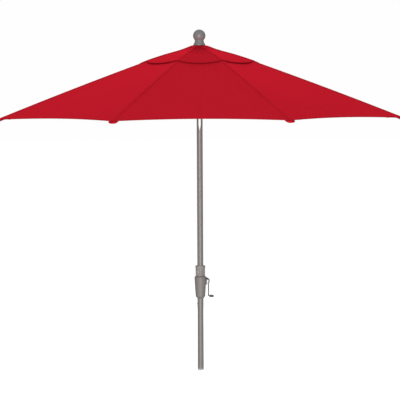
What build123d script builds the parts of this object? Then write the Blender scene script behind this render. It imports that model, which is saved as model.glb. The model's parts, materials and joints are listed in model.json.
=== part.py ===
# Market umbrella for a patio, 2.74 m across its eight ribs, with a crank lift and a collar tilt.
# Millimetres, +Z up. The origin is at the centre of the pole's foot, and the crank is on the +X side.
# The canopy is an octagon whose ribs stand at 22.5 degrees and every 45 degrees from there.
import os
from math import atan, cos, degrees, hypot, radians, sin, sqrt, tan

from build123d import *

os.makedirs("parts", exist_ok=True)

# Pole and mast
pole_radius = 19.05
pole_wall = 1.6
pole_bore = pole_radius - pole_wall
plug_radius = pole_bore - 0.05  # a part pushed into the tube
running_gap = 0.06  # radial clearance of a shaft in its hole

foot_height = 12.0
foot_radius = 18.7
joint_z = 400.0  # where the two lengths of pole part
swage_radius = 19.7  # the widened lower end of the upper pole
swage_top_z = 464.0
pole_top_z = 1545.0
mast_foot_z = 1672.0
mast_top_z = 2065.0

# Snap button that locks the two lengths of pole
button_z = 429.0
button_radius = 4.0
button_proud = 2.5
button_travel = 5.0

# Crank housing, a cone that widens upwards, and the tilt collar above it
housing_foot_z = swage_top_z
housing_neck_z = 477.0
housing_rim_z = 600.0
housing_top_z = 608.0
housing_neck_radius = 31.0
housing_rim_radius = 38.2
housing_wall = 3.0
boss_reach = 44.5
boss_low_z = 552.0
boss_high_z = 592.0
boss_width = 18.0

collar_low_z = 610.4
collar_high_z = 678.0
collar_radius = 30.6
collar_lip_radius = 31.8
collar_flutes = 18

# Crank: a shaft that slopes down towards +X, an arm that hangs from it, and a knob
crank_slope = 26.0
crank_corner_x = 57.5
crank_corner_z = 585.7
shaft_radius = 4.0
stub_radius = 6.0
arm_radius = 4.2
arm_x = 52.0
knob_z = 479.0
knob_near_x = 60.0
knob_far_x = 86.3
knob_radius = 8.5
spool_radius = 9.6
spool_flange_radius = 12.6
spool_half_width = 9.0
cord_radius = 1.0

# Tilt joint: two cheeks on the pole, a tongue on the mast, and a pin along X
tilt_z = 1648.0
fork_envelope = 19.0  # the cheeks stay inside the pole's own round, so the runner can pass
fork_crown = 16.0  # the cheeks' round tops, about the pin
slot_half_width = 7.2
slot_tip_z = 1547.0
slot_full_z = 1585.0
tongue_half_width = 7.1
tongue_crown = 14.0
pin_radius = 4.0
pin_half_length = 18.4

# Lift cord and its pulley near the mast's top
cord_azimuth = 36.0
cord_inner = 12.0
pulley_centre = 17.0
pulley_track = 5.0  # radius to the middle of the cord
pulley_radius = 7.4
pulley_width = 4.4
pulley_z = 2022.0
pulley_pin_radius = 1.5

# Ribs, struts, hub and runner
rib_count = 8
gore = 360.0 / rib_count
half_gore = gore / 2
canopy_radius = 1371.6
pivot_radius = 32.0
hub_pivot_z = 2085.0
runner_pivot_z = 1694.0
knee_radius = 600.0  # where the strut meets its rib
knee_z = (hub_pivot_z + runner_pivot_z) / 2
rib_bend_radius = 249.0
rib_tip_radius = 1352.0
rib_width = 12.0
rib_half_height = 8.4
rib_wall = 1.0
rib_drop = 11.6  # from the cloth down to the rib's middle
tongue_width = 6.0
eye_radius = 6.0
wire_radius = 1.25
wire_corner = 8.0
strut_width = 9.0
strut_half_height = 6.0
rivet_radius = 2.5
hub_radius = 40.0
hub_low_z = 2072.0
hub_top_z = 2098.0
hub_core_radius = 24.5
hub_slot_width = 6.6
runner_bore = pole_radius + running_gap
runner_slot_width = 9.8
runner_low_z = 1672.0
runner_top_z = 1720.0
runner_flange_low_z = 1681.0
runner_flange_high_z = 1707.0

# Canopy cloth and vent flap
cloth = 1.5
panel_gap = 0.25  # between the cloths of neighbouring ribs
canopy_inner_radius = 262.0
vent_inner_radius = 22.0
vent_radius = 366.0
hem_scallop = 28.0
vent_scallop = -48.0  # the flap's hem bows outwards between the ribs
slope_radius = 379.0
slope_height = 1993.5
slope_first = 0.342
slope_second = 1.865e-5
vent_heights = [(15, 2099.7), (44, 2099.7), (57, 2096.5), (126, 2072.0), (249, 2040.5), (366, 2006.0), (430, 1982.0)]

# Finial
finial_foot_z = 2101.0
finial_flange_radius = 39.5
finial_ball_z = 2162.0
finial_ball_radius = 40.0
finial_waist_radius = 28.0


def canopy_height(radius):
    """Height of the cloth along a rib."""
    run = radius - slope_radius
    return slope_height - slope_first * run - slope_second * run * run


def rib_height(radius):
    """Height of a rib's middle: straight from the hub to the bend, then under the cloth."""
    if radius >= rib_bend_radius:
        return canopy_height(radius) - rib_drop
    bend_z = canopy_height(rib_bend_radius) - rib_drop
    share = (radius - pivot_radius) / (rib_bend_radius - pivot_radius)
    return hub_pivot_z + (bend_z - hub_pivot_z) * share


def radial_plane(azimuth):
    """The upright plane through the pole's axis: sketch x is the radius and sketch y is the height."""
    turn = radians(azimuth)
    return Plane(origin=(0, 0, 0), x_dir=(cos(turn), sin(turn), 0), z_dir=(sin(turn), -cos(turn), 0))


def polar(radius, azimuth):
    """A point in plan."""
    return (radius * cos(radians(azimuth)), radius * sin(radians(azimuth)))


rib_azimuths = [half_gore + gore * index for index in range(rib_count)]

# The crank's axis: +Z of this plane points out of the housing
crank_direction = Vector(cos(radians(crank_slope)), 0, -sin(radians(crank_slope)))
crank_corner = Vector(crank_corner_x, 0, crank_corner_z)
spool_centre = crank_corner - crank_direction * (crank_corner_x / cos(radians(crank_slope)))


def crank_plane(distance):
    """The plane square to the crank's axis, at a distance outwards from the pole's axis."""
    return Plane(origin=spool_centre + crank_direction * distance, x_dir=(0, 1, 0), z_dir=crank_direction)


# ---- Pole ----

with BuildPart() as foot_cap:
    with BuildSketch(Plane.XY):
        Circle(foot_radius)
    extrude(amount=foot_height)
    fillet(foot_cap.edges().group_by(Axis.Z)[0], 2.0)
    with BuildSketch(Plane.XY.offset(foot_height)):
        Circle(plug_radius)
    extrude(amount=20)
    with BuildSketch(Plane.XY.offset(4)):
        Circle(plug_radius - 2.5)
    extrude(amount=40, mode=Mode.SUBTRACT)
foot_cap.part.label = "foot_cap"
export_step(foot_cap.part, "parts/foot_cap.step")

with BuildPart() as lower_pole:
    with BuildSketch(Plane.XY.offset(foot_height)):
        Circle(pole_radius)
        Circle(pole_bore, mode=Mode.SUBTRACT)
    extrude(amount=joint_z - foot_height)
lower_pole.part.label = "lower_pole"
export_step(lower_pole.part, "parts/lower_pole.step")

joiner_low_z = 340.0
joiner_high_z = 520.0
joiner_bore = plug_radius - 1.6
button_plane = Plane(origin=(0, 0, button_z), x_dir=(0, 1, 0), z_dir=(-1, 0, 0))

with BuildPart() as pole_joiner:
    with BuildSketch(Plane.XY.offset(joiner_low_z)):
        Circle(plug_radius)
        Circle(joiner_bore, mode=Mode.SUBTRACT)
    extrude(amount=joiner_high_z - joiner_low_z)
    with BuildSketch(button_plane):
        Circle(button_radius + running_gap)
    extrude(amount=pole_radius + 10, mode=Mode.SUBTRACT)
pole_joiner.part.label = "pole_joiner"
export_step(pole_joiner.part, "parts/pole_joiner.step")

with BuildPart() as upper_pole:
    with BuildSketch(Plane.XY.offset(joint_z + 0.5)):
        Circle(swage_radius)
    extrude(amount=swage_top_z - joint_z - 0.5)
    fillet(upper_pole.edges().group_by(Axis.Z)[-1], 0.6)
    with BuildSketch(Plane.XY.offset(swage_top_z - 1)):
        Circle(pole_radius)
    extrude(amount=pole_top_z - swage_top_z + 1)
    with BuildSketch(Plane.XY.offset(joint_z)):
        Circle(pole_bore)
    extrude(amount=pole_top_z, mode=Mode.SUBTRACT)
    with BuildSketch(button_plane):
        Circle(button_radius + running_gap)
    extrude(amount=pole_radius + 10, mode=Mode.SUBTRACT)
    with BuildSketch(crank_plane(-40)):
        Circle(shaft_radius + running_gap)
    extrude(amount=80, mode=Mode.SUBTRACT)
upper_pole.part.label = "upper_pole"
export_step(upper_pole.part, "parts/upper_pole.step")

# ---- Snap button and the leaf spring behind it ----

button_head = swage_radius + button_proud
button_foot = 11.0

with BuildPart() as snap_button:
    with BuildSketch(button_plane.offset(button_foot)):
        Circle(button_radius)
    extrude(amount=button_head - button_foot)
    fillet(snap_button.edges().group_by(Axis.X)[0], 2.0)
snap_button.part.label = "snap_button"
export_step(snap_button.part, "parts/snap_button.step")

spring_half_width = 3.5
with BuildPart() as snap_spring:
    with BuildSketch(Plane.XZ):
        with BuildLine():
            leaf = Polyline(
                (-button_foot + 0.6, button_z + 9),
                (-button_foot + 0.6, button_z - 8),
                (2, button_z - 62),
                (12, button_z - 62),
                (13, button_z + 20),
            )
            offset(leaf, amount=0.5)
        make_face()
    extrude(amount=spring_half_width, both=True)
snap_spring.part.label = "snap_spring"
export_step(snap_spring.part, "parts/snap_spring.step")

# ---- Crank housing, in two halves, with its screws and the crank's bush ----

bush_near = 33.0
bush_far = 43.5
bush_radius = 7.5
screw_heights = [492.0, 538.0, 580.0]
screw_azimuths = [75.0, 105.0]


def housing_radius(height):
    """Outer radius of the cone."""
    share = (height - housing_neck_z) / (housing_rim_z - housing_neck_z)
    return housing_neck_radius + (housing_rim_radius - housing_neck_radius) * share


with BuildPart() as housing_shell:
    with BuildSketch(Plane.XZ):
        with BuildLine():
            Polyline(
                (pole_radius + 0.05, housing_foot_z + 0.3),
                (swage_radius + 0.3, housing_foot_z + 0.3),
                (housing_neck_radius, housing_neck_z),
                (housing_rim_radius, housing_rim_z),
                (housing_rim_radius - 4.5, housing_top_z),
                (pole_radius + 0.05, housing_top_z),
                (pole_radius + 0.05, housing_foot_z + 0.3),
            )
        make_face()
    revolve(axis=Axis.Z)
    with BuildSketch(Plane.YZ.offset(30)):
        with Locations((0, (boss_low_z + boss_high_z) / 2)):
            SlotOverall(boss_high_z - boss_low_z, boss_width, rotation=90)
    extrude(amount=boss_reach - 30, taper=6)
    with BuildSketch(Plane.XZ):
        with BuildLine():
            Polyline(
                (pole_radius + 2.5, housing_foot_z + 9),
                (housing_neck_radius - housing_wall, housing_neck_z + 3),
                (housing_rim_radius - housing_wall, housing_rim_z - 1),
                (housing_rim_radius - 6.5, housing_top_z - 4),
                (pole_radius + 2.5, housing_top_z - 4),
                (pole_radius + 2.5, housing_foot_z + 9),
            )
        make_face()
    revolve(axis=Axis.Z, mode=Mode.SUBTRACT)
    with BuildSketch(crank_plane(pole_radius)):
        Circle(bush_radius + 0.02)
    extrude(amount=60, mode=Mode.SUBTRACT)
    for height in screw_heights:
        for azimuth in screw_azimuths:
            middle = housing_radius(height) * sin(radians(azimuth))
            spot = Plane(
                origin=(housing_radius(height) * cos(radians(azimuth)), middle + 1, height),
                x_dir=(1, 0, 0),
                z_dir=(0, -1, 0),
            )
            with BuildSketch(spot):
                Circle(2.6)
            extrude(amount=3.6, mode=Mode.SUBTRACT)

with BuildPart() as crank_housing_front:
    add(housing_shell.part)
    split(bisect_by=Plane.XZ, keep=Keep.TOP)
crank_housing_front.part.label = "crank_housing_front"
export_step(crank_housing_front.part, "parts/crank_housing_front.step")

with BuildPart() as crank_housing_rear:
    add(housing_shell.part)
    split(bisect_by=Plane.XZ, keep=Keep.BOTTOM)
crank_housing_rear.part.label = "crank_housing_rear"
export_step(crank_housing_rear.part, "parts/crank_housing_rear.step")

with BuildPart() as housing_screws:
    for height in screw_heights:
        for azimuth in screw_azimuths:
            middle = housing_radius(height) * sin(radians(azimuth))
            spot = Plane(
                origin=(housing_radius(height) * cos(radians(azimuth)), middle - 0.6, height),
                x_dir=(1, 0, 0),
                z_dir=(0, -1, 0),
            )
            with BuildSketch(spot):
                Circle(2.5)
                Rectangle(3.4, 0.9, mode=Mode.SUBTRACT)
                Rectangle(0.9, 3.4, mode=Mode.SUBTRACT)
            extrude(amount=1.0)
            with BuildSketch(spot.offset(1.0)):
                Circle(2.5)
            extrude(amount=0.9)
housing_screws.part.label = "housing_screws"
export_step(housing_screws.part, "parts/housing_screws.step")

with BuildPart() as crank_bush:
    with BuildSketch(crank_plane(bush_near)):
        Circle(bush_radius)
        Circle(shaft_radius + running_gap, mode=Mode.SUBTRACT)
    extrude(amount=bush_far - bush_near)
crank_bush.part.label = "crank_bush"
export_step(crank_bush.part, "parts/crank_bush.step")

# ---- Crank ----

corner_distance = crank_corner_x / cos(radians(crank_slope))
stub_near = bush_far + 1.0
stub_far = corner_distance - 5.6

with BuildPart() as crank_shaft:
    with BuildSketch(crank_plane(-18.4)):
        Circle(shaft_radius)
    extrude(amount=stub_near + 18.4)
    with BuildSketch(crank_plane(stub_near)):
        Circle(stub_radius)
    extrude(amount=stub_far - stub_near)
    with BuildSketch(crank_plane(stub_far - 8)):
        Circle(arm_radius + 0.02)
    extrude(amount=20, mode=Mode.SUBTRACT)
    chamfer(crank_shaft.edges().group_by(Axis.Z)[0], 0.5)
crank_shaft.part.label = "crank_shaft"
export_step(crank_shaft.part, "parts/crank_shaft.step")

arm_start = spool_centre + crank_direction * (stub_far - 7.5)
with BuildPart() as crank_arm:
    with BuildLine():
        arm_path = FilletPolyline(
            arm_start,
            crank_corner,
            (arm_x + 0.6, 0, crank_corner_z - 27),
            (arm_x, 0, knob_z),
            (knob_far_x - 1.5, 0, knob_z),
            radius=[6.5, 60, 7.5],
        )
    with BuildSketch(crank_plane(stub_far - 7.5)):
        Circle(arm_radius)
    sweep(path=arm_path)
    with BuildSketch(Plane.YZ.offset(knob_far_x - 1.5)):
        with Locations((0, knob_z)):
            Circle(arm_radius + 1.6)
    extrude(amount=1.4)
crank_arm.part.label = "crank_arm"
export_step(crank_arm.part, "parts/crank_arm.step")

knob_end_x = knob_far_x - 1.6
with BuildPart() as crank_knob:
    with BuildSketch(Plane.YZ.offset(knob_near_x)):
        with Locations((0, knob_z)):
            Circle(knob_radius)
    extrude(amount=knob_end_x - knob_near_x)
    fillet(crank_knob.edges().filter_by(GeomType.CIRCLE), 2.2)
    with BuildSketch(Plane.YZ.offset(knob_near_x)):
        with Locations((0, knob_z)):
            Circle(arm_radius + running_gap)
    extrude(amount=60, mode=Mode.SUBTRACT)
    for turn in range(12):
        ridge = radians(30 * turn)
        with BuildSketch(Plane.YZ.offset(knob_near_x + 4)):
            with Locations((knob_radius * cos(ridge) * 1.06, knob_z + knob_radius * sin(ridge) * 1.06)):
                Circle(1.1)
        extrude(amount=knob_end_x - knob_near_x - 8, mode=Mode.SUBTRACT)
crank_knob.part.label = "crank_knob"
export_step(crank_knob.part, "parts/crank_knob.step")

with BuildPart() as cord_spool:
    with BuildSketch(crank_plane(-spool_half_width)):
        Circle(spool_radius)
    extrude(amount=2 * spool_half_width)
    with BuildSketch(crank_plane(-spool_half_width - 1.5)):
        Circle(spool_flange_radius)
    extrude(amount=1.5)
    with BuildSketch(crank_plane(spool_half_width)):
        Circle(spool_flange_radius)
    extrude(amount=1.5)
    with BuildSketch(crank_plane(-40)):
        Circle(shaft_radius + 0.02)
    extrude(amount=80, mode=Mode.SUBTRACT)
cord_spool.part.label = "cord_spool"
export_step(cord_spool.part, "parts/cord_spool.step")

# ---- Tilt collar ----

with BuildPart() as tilt_collar:
    with BuildSketch(Plane.XZ):
        with BuildLine():
            Polyline(
                (pole_radius + running_gap, collar_low_z),
                (collar_radius - 1.5, collar_low_z),
                (collar_radius, collar_low_z + 1.5),
                (collar_radius, collar_high_z - 15),
                (collar_lip_radius, collar_high_z - 12),
                (collar_lip_radius, collar_high_z - 4),
            )
            RadiusArc(
                (collar_lip_radius, collar_high_z - 4),
                (collar_lip_radius - 4, collar_high_z),
                -4,
            )
            Polyline(
                (collar_lip_radius - 4, collar_high_z),
                (pole_radius + running_gap, collar_high_z),
                (pole_radius + running_gap, collar_low_z),
            )
        make_face()
    revolve(axis=Axis.Z)
    with BuildSketch(Plane.XY.offset(collar_low_z + 4)):
        with PolarLocations(collar_radius + 1.2, collar_flutes):
            Circle(2.6)
    extrude(amount=collar_high_z - collar_low_z - 21, mode=Mode.SUBTRACT)
tilt_collar.part.label = "tilt_collar"
export_step(tilt_collar.part, "parts/tilt_collar.step")

# ---- Tilt joint ----

cord_x, cord_y = polar(cord_inner, cord_azimuth)

with BuildPart() as tilt_fork:
    with BuildSketch(Plane.XY.offset(pole_top_z - 45)):
        Circle(plug_radius)
    extrude(amount=45)
    with BuildSketch(Plane.XY.offset(pole_top_z)):
        Circle(fork_envelope)
    extrude(amount=tilt_z + fork_crown - pole_top_z)
    with BuildSketch(Plane.YZ):
        with Locations((0, tilt_z + fork_crown)):
            Rectangle(4 * fork_crown, 2 * fork_crown)
        with Locations((0, tilt_z)):
            Circle(fork_crown, mode=Mode.SUBTRACT)
    extrude(amount=2 * fork_crown, both=True, mode=Mode.SUBTRACT)
    with BuildSketch(Plane.XZ):
        with BuildLine():
            Polyline(
                (0, slot_tip_z),
                (slot_half_width, slot_full_z),
                (slot_half_width, tilt_z + 60),
                (-slot_half_width, tilt_z + 60),
                (-slot_half_width, slot_full_z),
                (0, slot_tip_z),
            )
        make_face()
    extrude(amount=40, both=True, mode=Mode.SUBTRACT)
    with BuildSketch(Plane.YZ):
        with Locations((0, tilt_z)):
            Circle(pin_radius + 0.02)
    extrude(amount=40, both=True, mode=Mode.SUBTRACT)
    with BuildSketch(Plane.XY.offset(pole_top_z - 50)):
        with Locations((cord_x, cord_y)):
            Circle(cord_radius + 0.4)
    extrude(amount=200, mode=Mode.SUBTRACT)
tilt_fork.part.label = "tilt_fork"
export_step(tilt_fork.part, "parts/tilt_fork.step")

with BuildPart() as tilt_pin:
    with BuildSketch(Plane.YZ):
        with Locations((0, tilt_z)):
            Circle(pin_radius)
    extrude(amount=pin_half_length, both=True)
    chamfer(tilt_pin.edges().filter_by(GeomType.CIRCLE), 0.6)
tilt_pin.part.label = "tilt_pin"
export_step(tilt_pin.part, "parts/tilt_pin.step")

with BuildPart() as tilt_tongue:
    with BuildSketch(Plane.YZ):
        with Locations((0, tilt_z)):
            Circle(tongue_crown)
        with Locations((0, (tilt_z + mast_foot_z + 2) / 2)):
            Rectangle(2 * tongue_crown, mast_foot_z + 2 - tilt_z)
    extrude(amount=tongue_half_width, both=True)
    with BuildSketch(Plane.XY.offset(mast_foot_z)):
        Circle(plug_radius)
    extrude(amount=60)
    with BuildSketch(Plane.YZ):
        with Locations((0, tilt_z)):
            Circle(pin_radius + running_gap)
    extrude(amount=40, both=True, mode=Mode.SUBTRACT)
    with BuildSketch(Plane.XY.offset(mast_foot_z - 1)):
        with Locations((cord_x, cord_y)):
            Circle(cord_radius + 0.4)
    extrude(amount=100, mode=Mode.SUBTRACT)
tilt_tongue.part.label = "tilt_tongue"
export_step(tilt_tongue.part, "parts/tilt_tongue.step")

# ---- Mast, pulley and lift cord ----

cord_plane = radial_plane(cord_azimuth)

with BuildPart() as mast_tube:
    with BuildSketch(Plane.XY.offset(mast_foot_z)):
        Circle(pole_radius)
        Circle(pole_bore, mode=Mode.SUBTRACT)
    extrude(amount=mast_top_z - mast_foot_z)
    with BuildSketch(cord_plane):
        with Locations((pulley_centre, pulley_z)):
            Rectangle(18, 22)
    extrude(amount=pulley_width / 2 + 0.3, both=True, mode=Mode.SUBTRACT)
    with BuildSketch(cord_plane):
        with Locations((pulley_centre, pulley_z)):
            Circle(pulley_pin_radius + 0.02)
    extrude(amount=15, both=True, mode=Mode.SUBTRACT)
mast_tube.part.label = "mast_tube"
export_step(mast_tube.part, "parts/mast_tube.step")

with BuildPart() as pulley_pin:
    with BuildSketch(cord_plane):
        with Locations((pulley_centre, pulley_z)):
            Circle(pulley_pin_radius)
    extrude(amount=7.5, both=True)
pulley_pin.part.label = "pulley_pin"
export_step(pulley_pin.part, "parts/pulley_pin.step")

groove = pulley_track - cord_radius
with BuildPart() as cord_pulley:
    with BuildSketch(cord_plane):
        with Locations((pulley_centre, pulley_z)):
            Circle(pulley_radius)
            Circle(pulley_pin_radius + running_gap, mode=Mode.SUBTRACT)
    extrude(amount=pulley_width / 2, both=True)
    with BuildSketch(cord_plane):
        with Locations((pulley_centre, pulley_z)):
            Circle(pulley_radius + 1)
            Circle(groove - 0.05, mode=Mode.SUBTRACT)
    extrude(amount=cord_radius + 0.2, both=True, mode=Mode.SUBTRACT)
cord_pulley.part.label = "cord_pulley"
export_step(cord_pulley.part, "parts/cord_pulley.step")

# The cord leaves the spool at its side, climbs inside the pole, and passes through a cheek of the fork
cord_start_y = spool_radius + cord_radius + 0.05
with BuildPart() as lift_cord_lower:
    with BuildLine():
        lower_path = FilletPolyline(
            (0, cord_start_y, spool_centre.Z),
            (cord_x, cord_y, pole_top_z - 60),
            (cord_x, cord_y, tilt_z + 12),
            radius=2500,
        )
    with BuildSketch(Plane(origin=lower_path @ 0, z_dir=lower_path % 0)):
        Circle(cord_radius)
    sweep(path=lower_path)
lift_cord_lower.part.label = "lift_cord_lower"
export_step(lift_cord_lower.part, "parts/lift_cord_lower.step")

# It goes on inside the mast, over the pulley, and down outside the mast to the runner
with BuildPart() as lift_cord_upper:
    with BuildLine(cord_plane):
        rise = Line((cord_inner, mast_foot_z + 4), (cord_inner, pulley_z))
        crown = ThreePointArc(
            (cord_inner, pulley_z),
            (pulley_centre, pulley_z + pulley_track),
            (pulley_centre + pulley_track, pulley_z),
        )
        drop = Line(
            (pulley_centre + pulley_track, pulley_z),
            (pulley_centre + pulley_track, runner_top_z + 0.2),
        )
    with BuildSketch(Plane.XY.offset(mast_foot_z + 4)):
        with Locations((cord_x, cord_y)):
            Circle(cord_radius)
    sweep(path=Wire([rise, crown, drop]))
lift_cord_upper.part.label = "lift_cord_upper"
export_step(lift_cord_upper.part, "parts/lift_cord_upper.step")

# ---- Hub, its ring wire, the washer over the cloth, and the finial ----

with BuildPart() as top_hub:
    with BuildSketch(Plane.XY.offset(mast_top_z - 25)):
        Circle(plug_radius)
    extrude(amount=25)
    with BuildSketch(Plane.XY.offset(mast_top_z)):
        Circle(hub_core_radius)
    extrude(amount=hub_top_z - mast_top_z)
    with BuildSketch(Plane.XY.offset(hub_low_z)):
        Circle(hub_radius)
    extrude(amount=hub_top_z - hub_low_z)
    chamfer(top_hub.edges().filter_by(GeomType.CIRCLE).group_by(SortBy.RADIUS)[-1], 1.0)
    with BuildSketch(Plane.XY.offset(hub_low_z - 2)):
        with PolarLocations(0, rib_count, start_angle=half_gore):
            with Locations((hub_core_radius + 20, 0)):
                Rectangle(40, hub_slot_width)
    extrude(amount=40, mode=Mode.SUBTRACT)
    with BuildSketch(Plane.XY.offset(hub_pivot_z - wire_radius - 0.3)):
        Circle(pivot_radius / cos(radians(half_gore)) + 1.0)
        Circle(pivot_radius - wire_radius - 0.3, mode=Mode.SUBTRACT)
    extrude(amount=40, mode=Mode.SUBTRACT)
    with BuildSketch(Plane.XY.offset(mast_top_z - 30)):
        Circle(4.05)
    extrude(amount=80, mode=Mode.SUBTRACT)
top_hub.part.label = "top_hub"
export_step(top_hub.part, "parts/top_hub.step")

# The ring wire is straight where a rib turns on it and bent between the ribs
with BuildPart() as hub_wire:
    for azimuth in rib_azimuths:
        side = tan(radians(half_gore)) * (pivot_radius - wire_corner)
        start = Vector(pivot_radius, -side, hub_pivot_z).rotate(Axis.Z, azimuth)
        end = Vector(pivot_radius, side, hub_pivot_z).rotate(Axis.Z, azimuth)
        with BuildSketch(Plane(origin=start, z_dir=end - start)):
            Circle(wire_radius)
        extrude(amount=2 * side)
        bend = Plane(origin=(0, 0, hub_pivot_z)).rotated((0, 0, azimuth + half_gore))
        middle = (pivot_radius - wire_corner) / cos(radians(half_gore))
        with BuildSketch(Plane(origin=end, z_dir=end - start)):
            Circle(wire_radius)
        revolve(axis=Axis(bend.from_local_coords((middle, 0, 0)), (0, 0, 1)), revolution_arc=gore)
hub_wire.part.label = "hub_wire"
export_step(hub_wire.part, "parts/hub_wire.step")

with BuildPart() as crown_washer:
    with BuildSketch(Plane.XY.offset(hub_top_z + cloth + 0.4)):
        Circle(37)
        Circle(4.2, mode=Mode.SUBTRACT)
    extrude(amount=finial_foot_z - hub_top_z - cloth - 0.4)
crown_washer.part.label = "crown_washer"
export_step(crown_washer.part, "parts/crown_washer.step")

waist_z = finial_ball_z - sqrt(finial_ball_radius**2 - finial_waist_radius**2)
with BuildPart() as finial:
    with BuildSketch(Plane.XZ):
        with BuildLine():
            Line((0, finial_foot_z), (finial_flange_radius, finial_foot_z))
            Line((finial_flange_radius, finial_foot_z), (finial_flange_radius, finial_foot_z + 4))
            ThreePointArc(
                (finial_flange_radius, finial_foot_z + 4),
                (finial_waist_radius + 4.0, finial_foot_z + 16),
                (finial_waist_radius, waist_z),
            )
            ThreePointArc(
                (finial_waist_radius, waist_z),
                (finial_ball_radius, finial_ball_z),
                (0, finial_ball_z + finial_ball_radius),
            )
            Line((0, finial_ball_z + finial_ball_radius), (0, finial_foot_z))
        make_face()
    revolve(axis=Axis.Z)
    with BuildSketch(Plane.XZ):
        with Locations((0, finial_ball_z)):
            Circle(finial_ball_radius - 3)
            with Locations((-finial_ball_radius, 0)):
                Rectangle(2 * finial_ball_radius, 2 * finial_ball_radius, mode=Mode.SUBTRACT)
    revolve(axis=Axis.Z, mode=Mode.SUBTRACT)
    with BuildSketch(Plane.XY.offset(hub_top_z - 23)):
        Circle(4.0)
    extrude(amount=30)
finial.part.label = "finial"
export_step(finial.part, "parts/finial.step")

# ---- Runner, which carries the struts' lower ends ----

with BuildPart() as runner:
    with BuildSketch(Plane.XY.offset(runner_low_z)):
        Circle(hub_core_radius)
    extrude(amount=runner_top_z - runner_low_z)
    with BuildSketch(Plane.XY.offset(runner_flange_low_z)):
        Circle(hub_radius)
    extrude(amount=runner_flange_high_z - runner_flange_low_z)
    chamfer(runner.edges().filter_by(GeomType.CIRCLE).group_by(SortBy.RADIUS)[-1], 1.0)
    with BuildSketch(Plane.XY.offset(runner_low_z - 2)):
        with PolarLocations(0, rib_count, start_angle=half_gore):
            with Locations((hub_core_radius + 20, 0)):
                Rectangle(40, runner_slot_width)
    extrude(amount=60, mode=Mode.SUBTRACT)
    with BuildSketch(Plane.XY.offset(runner_low_z - 2)):
        Circle(runner_bore)
    extrude(amount=60, mode=Mode.SUBTRACT)
runner.part.label = "runner"
export_step(runner.part, "parts/runner.step")

# ---- Ribs, with their strut brackets and tips, the struts, and the cloth over each rib ----

rib_start = pivot_radius + 16
rib_middle = (rib_bend_radius + rib_tip_radius) / 2
knee_half = 11.0  # half the bracket's length along the rib
bracket_inner = rib_width / 2 + 0.05
bracket_outer = rib_width / 2 + 1.8
strut_lean = degrees(atan((knee_z - runner_pivot_z) / (knee_radius - pivot_radius)))
strut_length = hypot(knee_radius - pivot_radius, knee_z - runner_pivot_z)
strut_centre = ((pivot_radius + knee_radius) / 2, (runner_pivot_z + knee_z) / 2)
strut_middle = Location(strut_centre, strut_lean)


def rib_outline(start, end, rise):
    """The closed outline of a rib between two radii, rise above and below its middle."""
    Line((start, rib_height(start) + rise), (rib_bend_radius, rib_height(rib_bend_radius) + rise))
    ThreePointArc(
        (rib_bend_radius, rib_height(rib_bend_radius) + rise),
        (rib_middle, rib_height(rib_middle) + rise),
        (end, rib_height(end) + rise),
    )
    Line((end, rib_height(end) + rise), (end, rib_height(end) - rise))
    ThreePointArc(
        (end, rib_height(end) - rise),
        (rib_middle, rib_height(rib_middle) - rise),
        (rib_bend_radius, rib_height(rib_bend_radius) - rise),
    )
    Line((rib_bend_radius, rib_height(rib_bend_radius) - rise), (start, rib_height(start) - rise))
    Line((start, rib_height(start) - rise), (start, rib_height(start) + rise))


canopy_low_z = 1500.0
canopy_band = 700.0
squeeze = cos(radians(half_gore))  # from a distance along a rib to one along the middle of a gore


def panel_outline(middle_azimuth, side, inner, outer, scallop):
    """Half a gore in plan, from its middle to the rib, with a hollowed hem."""
    along = Vector(polar(1, middle_azimuth))
    across = Vector(polar(1, middle_azimuth - side * 90))
    half_width = sin(radians(half_gore))
    hem_middle = along * (outer * squeeze - scallop) + across * panel_gap
    hem_quarter = along * (outer * squeeze - 0.75 * scallop) + across * outer * half_width / 2
    hem_corner = along * outer * squeeze + across * outer * half_width
    inner_middle = along * inner * squeeze + across * panel_gap
    inner_corner = along * inner * squeeze + across * inner * half_width
    Polyline(hem_middle, inner_middle, inner_corner, hem_corner)
    ThreePointArc(hem_corner, hem_quarter, hem_middle)


def canopy_profile():
    """The cloth's section along the middle of a gore, a little longer than the cloth."""
    near = canopy_inner_radius - 10
    far = canopy_radius + 10
    middle = (near + far) / 2
    upper = [(radius * squeeze, canopy_height(radius)) for radius in (near, middle, far)]
    lower = [(across, height - cloth) for across, height in upper]
    ThreePointArc(*upper)
    Line(upper[-1], lower[-1])
    ThreePointArc(*reversed(lower))
    Line(lower[0], upper[0])


def vent_profile():
    """The vent flap's section along the middle of a gore."""
    upper = [(radius * squeeze, height) for radius, height in vent_heights]
    lower = [(across, height - cloth) for across, height in upper]
    Polyline(*upper, *reversed(lower), close=True)


main_cloth = (canopy_inner_radius, canopy_radius, hem_scallop, canopy_profile)
vent_cloth = (vent_inner_radius, vent_radius, vent_scallop, vent_profile)

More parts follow.
